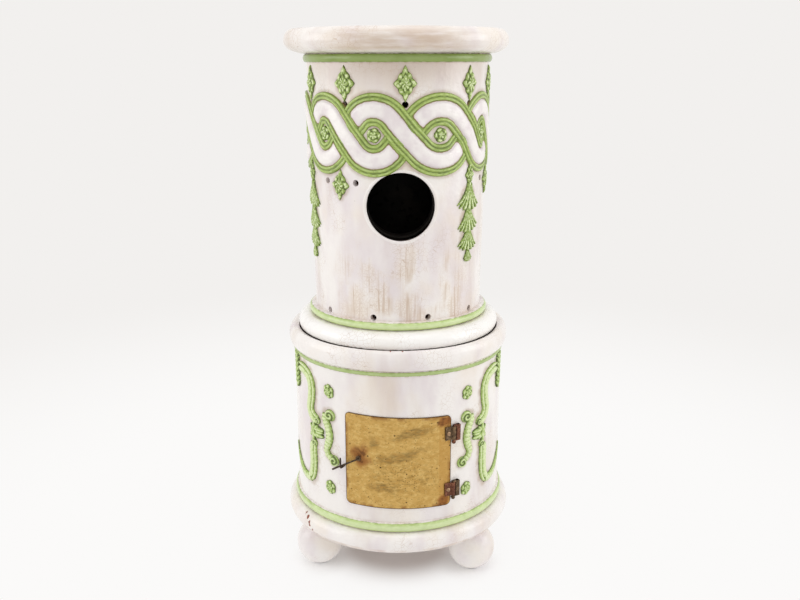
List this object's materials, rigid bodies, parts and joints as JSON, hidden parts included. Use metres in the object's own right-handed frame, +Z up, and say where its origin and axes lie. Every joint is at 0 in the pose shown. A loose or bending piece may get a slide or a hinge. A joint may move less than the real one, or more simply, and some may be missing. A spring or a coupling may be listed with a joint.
{
  "type": "stove",
  "caption": "Small round two-drum ceramic wood stove with a curved metal fire door, ball feet, a flue hole and raised woven ornament.",
  "frame": {"origin": "on the floor, under the middle of the stove", "axes": "+Z up, the stove's front with the fire door and the flue hole faces -Y, +X is the viewer's right"},
  "size_m": [0.428, 0.428, 0.9903],
  "materials": {
    "glazed_faience": "off-white tin glaze with apple green relief, glossy, crackled and stained",
    "firebrick": "rough buff fireclay, sooted",
    "cast_iron": "sand cast, matt, sooted",
    "sheet_iron": "rolled sheet iron, sooted",
    "door_brass": "old brass sheet, stained and pitted",
    "hinge_bronze": "dark brown patinated bronze",
    "latch_wire": "dark oxidised iron wire"
  },
  "bodies": {
    "base": {"lower_drum": "glazed_faience", "foot_front_left": "glazed_faience", "foot_front_right": "glazed_faience", "foot_back": "glazed_faience", "hearth_slab": "firebrick", "liner_brick_1": "firebrick", "liner_brick_2": "firebrick", "liner_brick_3": "firebrick", "liner_brick_4": "firebrick", "liner_brick_5": "firebrick", "liner_brick_6": "firebrick", "grate": "cast_iron", "firebox_plate": "cast_iron", "hinge_bracket_upper": "hinge_bronze", "hinge_bracket_lower": "hinge_bronze", "catch_hook": "latch_wire"},
    "door": {"door_panel": "door_brass", "hinge_leaf_upper": "hinge_bronze", "hinge_leaf_lower": "hinge_bronze", "hinge_rivet_upper": "hinge_bronze", "hinge_rivet_lower": "hinge_bronze", "latch_bush": "door_brass"},
    "latch": {"latch_lever": "latch_wire"},
    "heating_drum": {"upper_drum": "glazed_faience", "smoke_chamber": "sheet_iron", "smoke_cap": "sheet_iron", "flue_collar": "sheet_iron"},
    "lid": {"top_lid": "glazed_faience"}
  },
  "joints": [
    {"name": "door_hinge", "type": "hinge", "parent": "base", "child": "door", "pos_m": [0.09789, -0.17326, 0.2545], "axis": [0, 0, 1], "range_deg": [0, 110]},
    {"name": "latch_pivot", "type": "hinge", "parent": "door", "child": "latch", "pos_m": [-0.07102, -0.18696, 0.2645], "axis": [0.3551, 0.9348, 0], "range_deg": [0, 80]},
    {"name": "drum_lift", "type": "slide", "parent": "base", "child": "heating_drum", "axis": [0, 0, 1], "range_m": [0, 0.15]},
    {"name": "lid_lift", "type": "slide", "parent": "heating_drum", "child": "lid", "axis": [0, 0, 1], "range_m": [0, 0.06]}
  ]
}
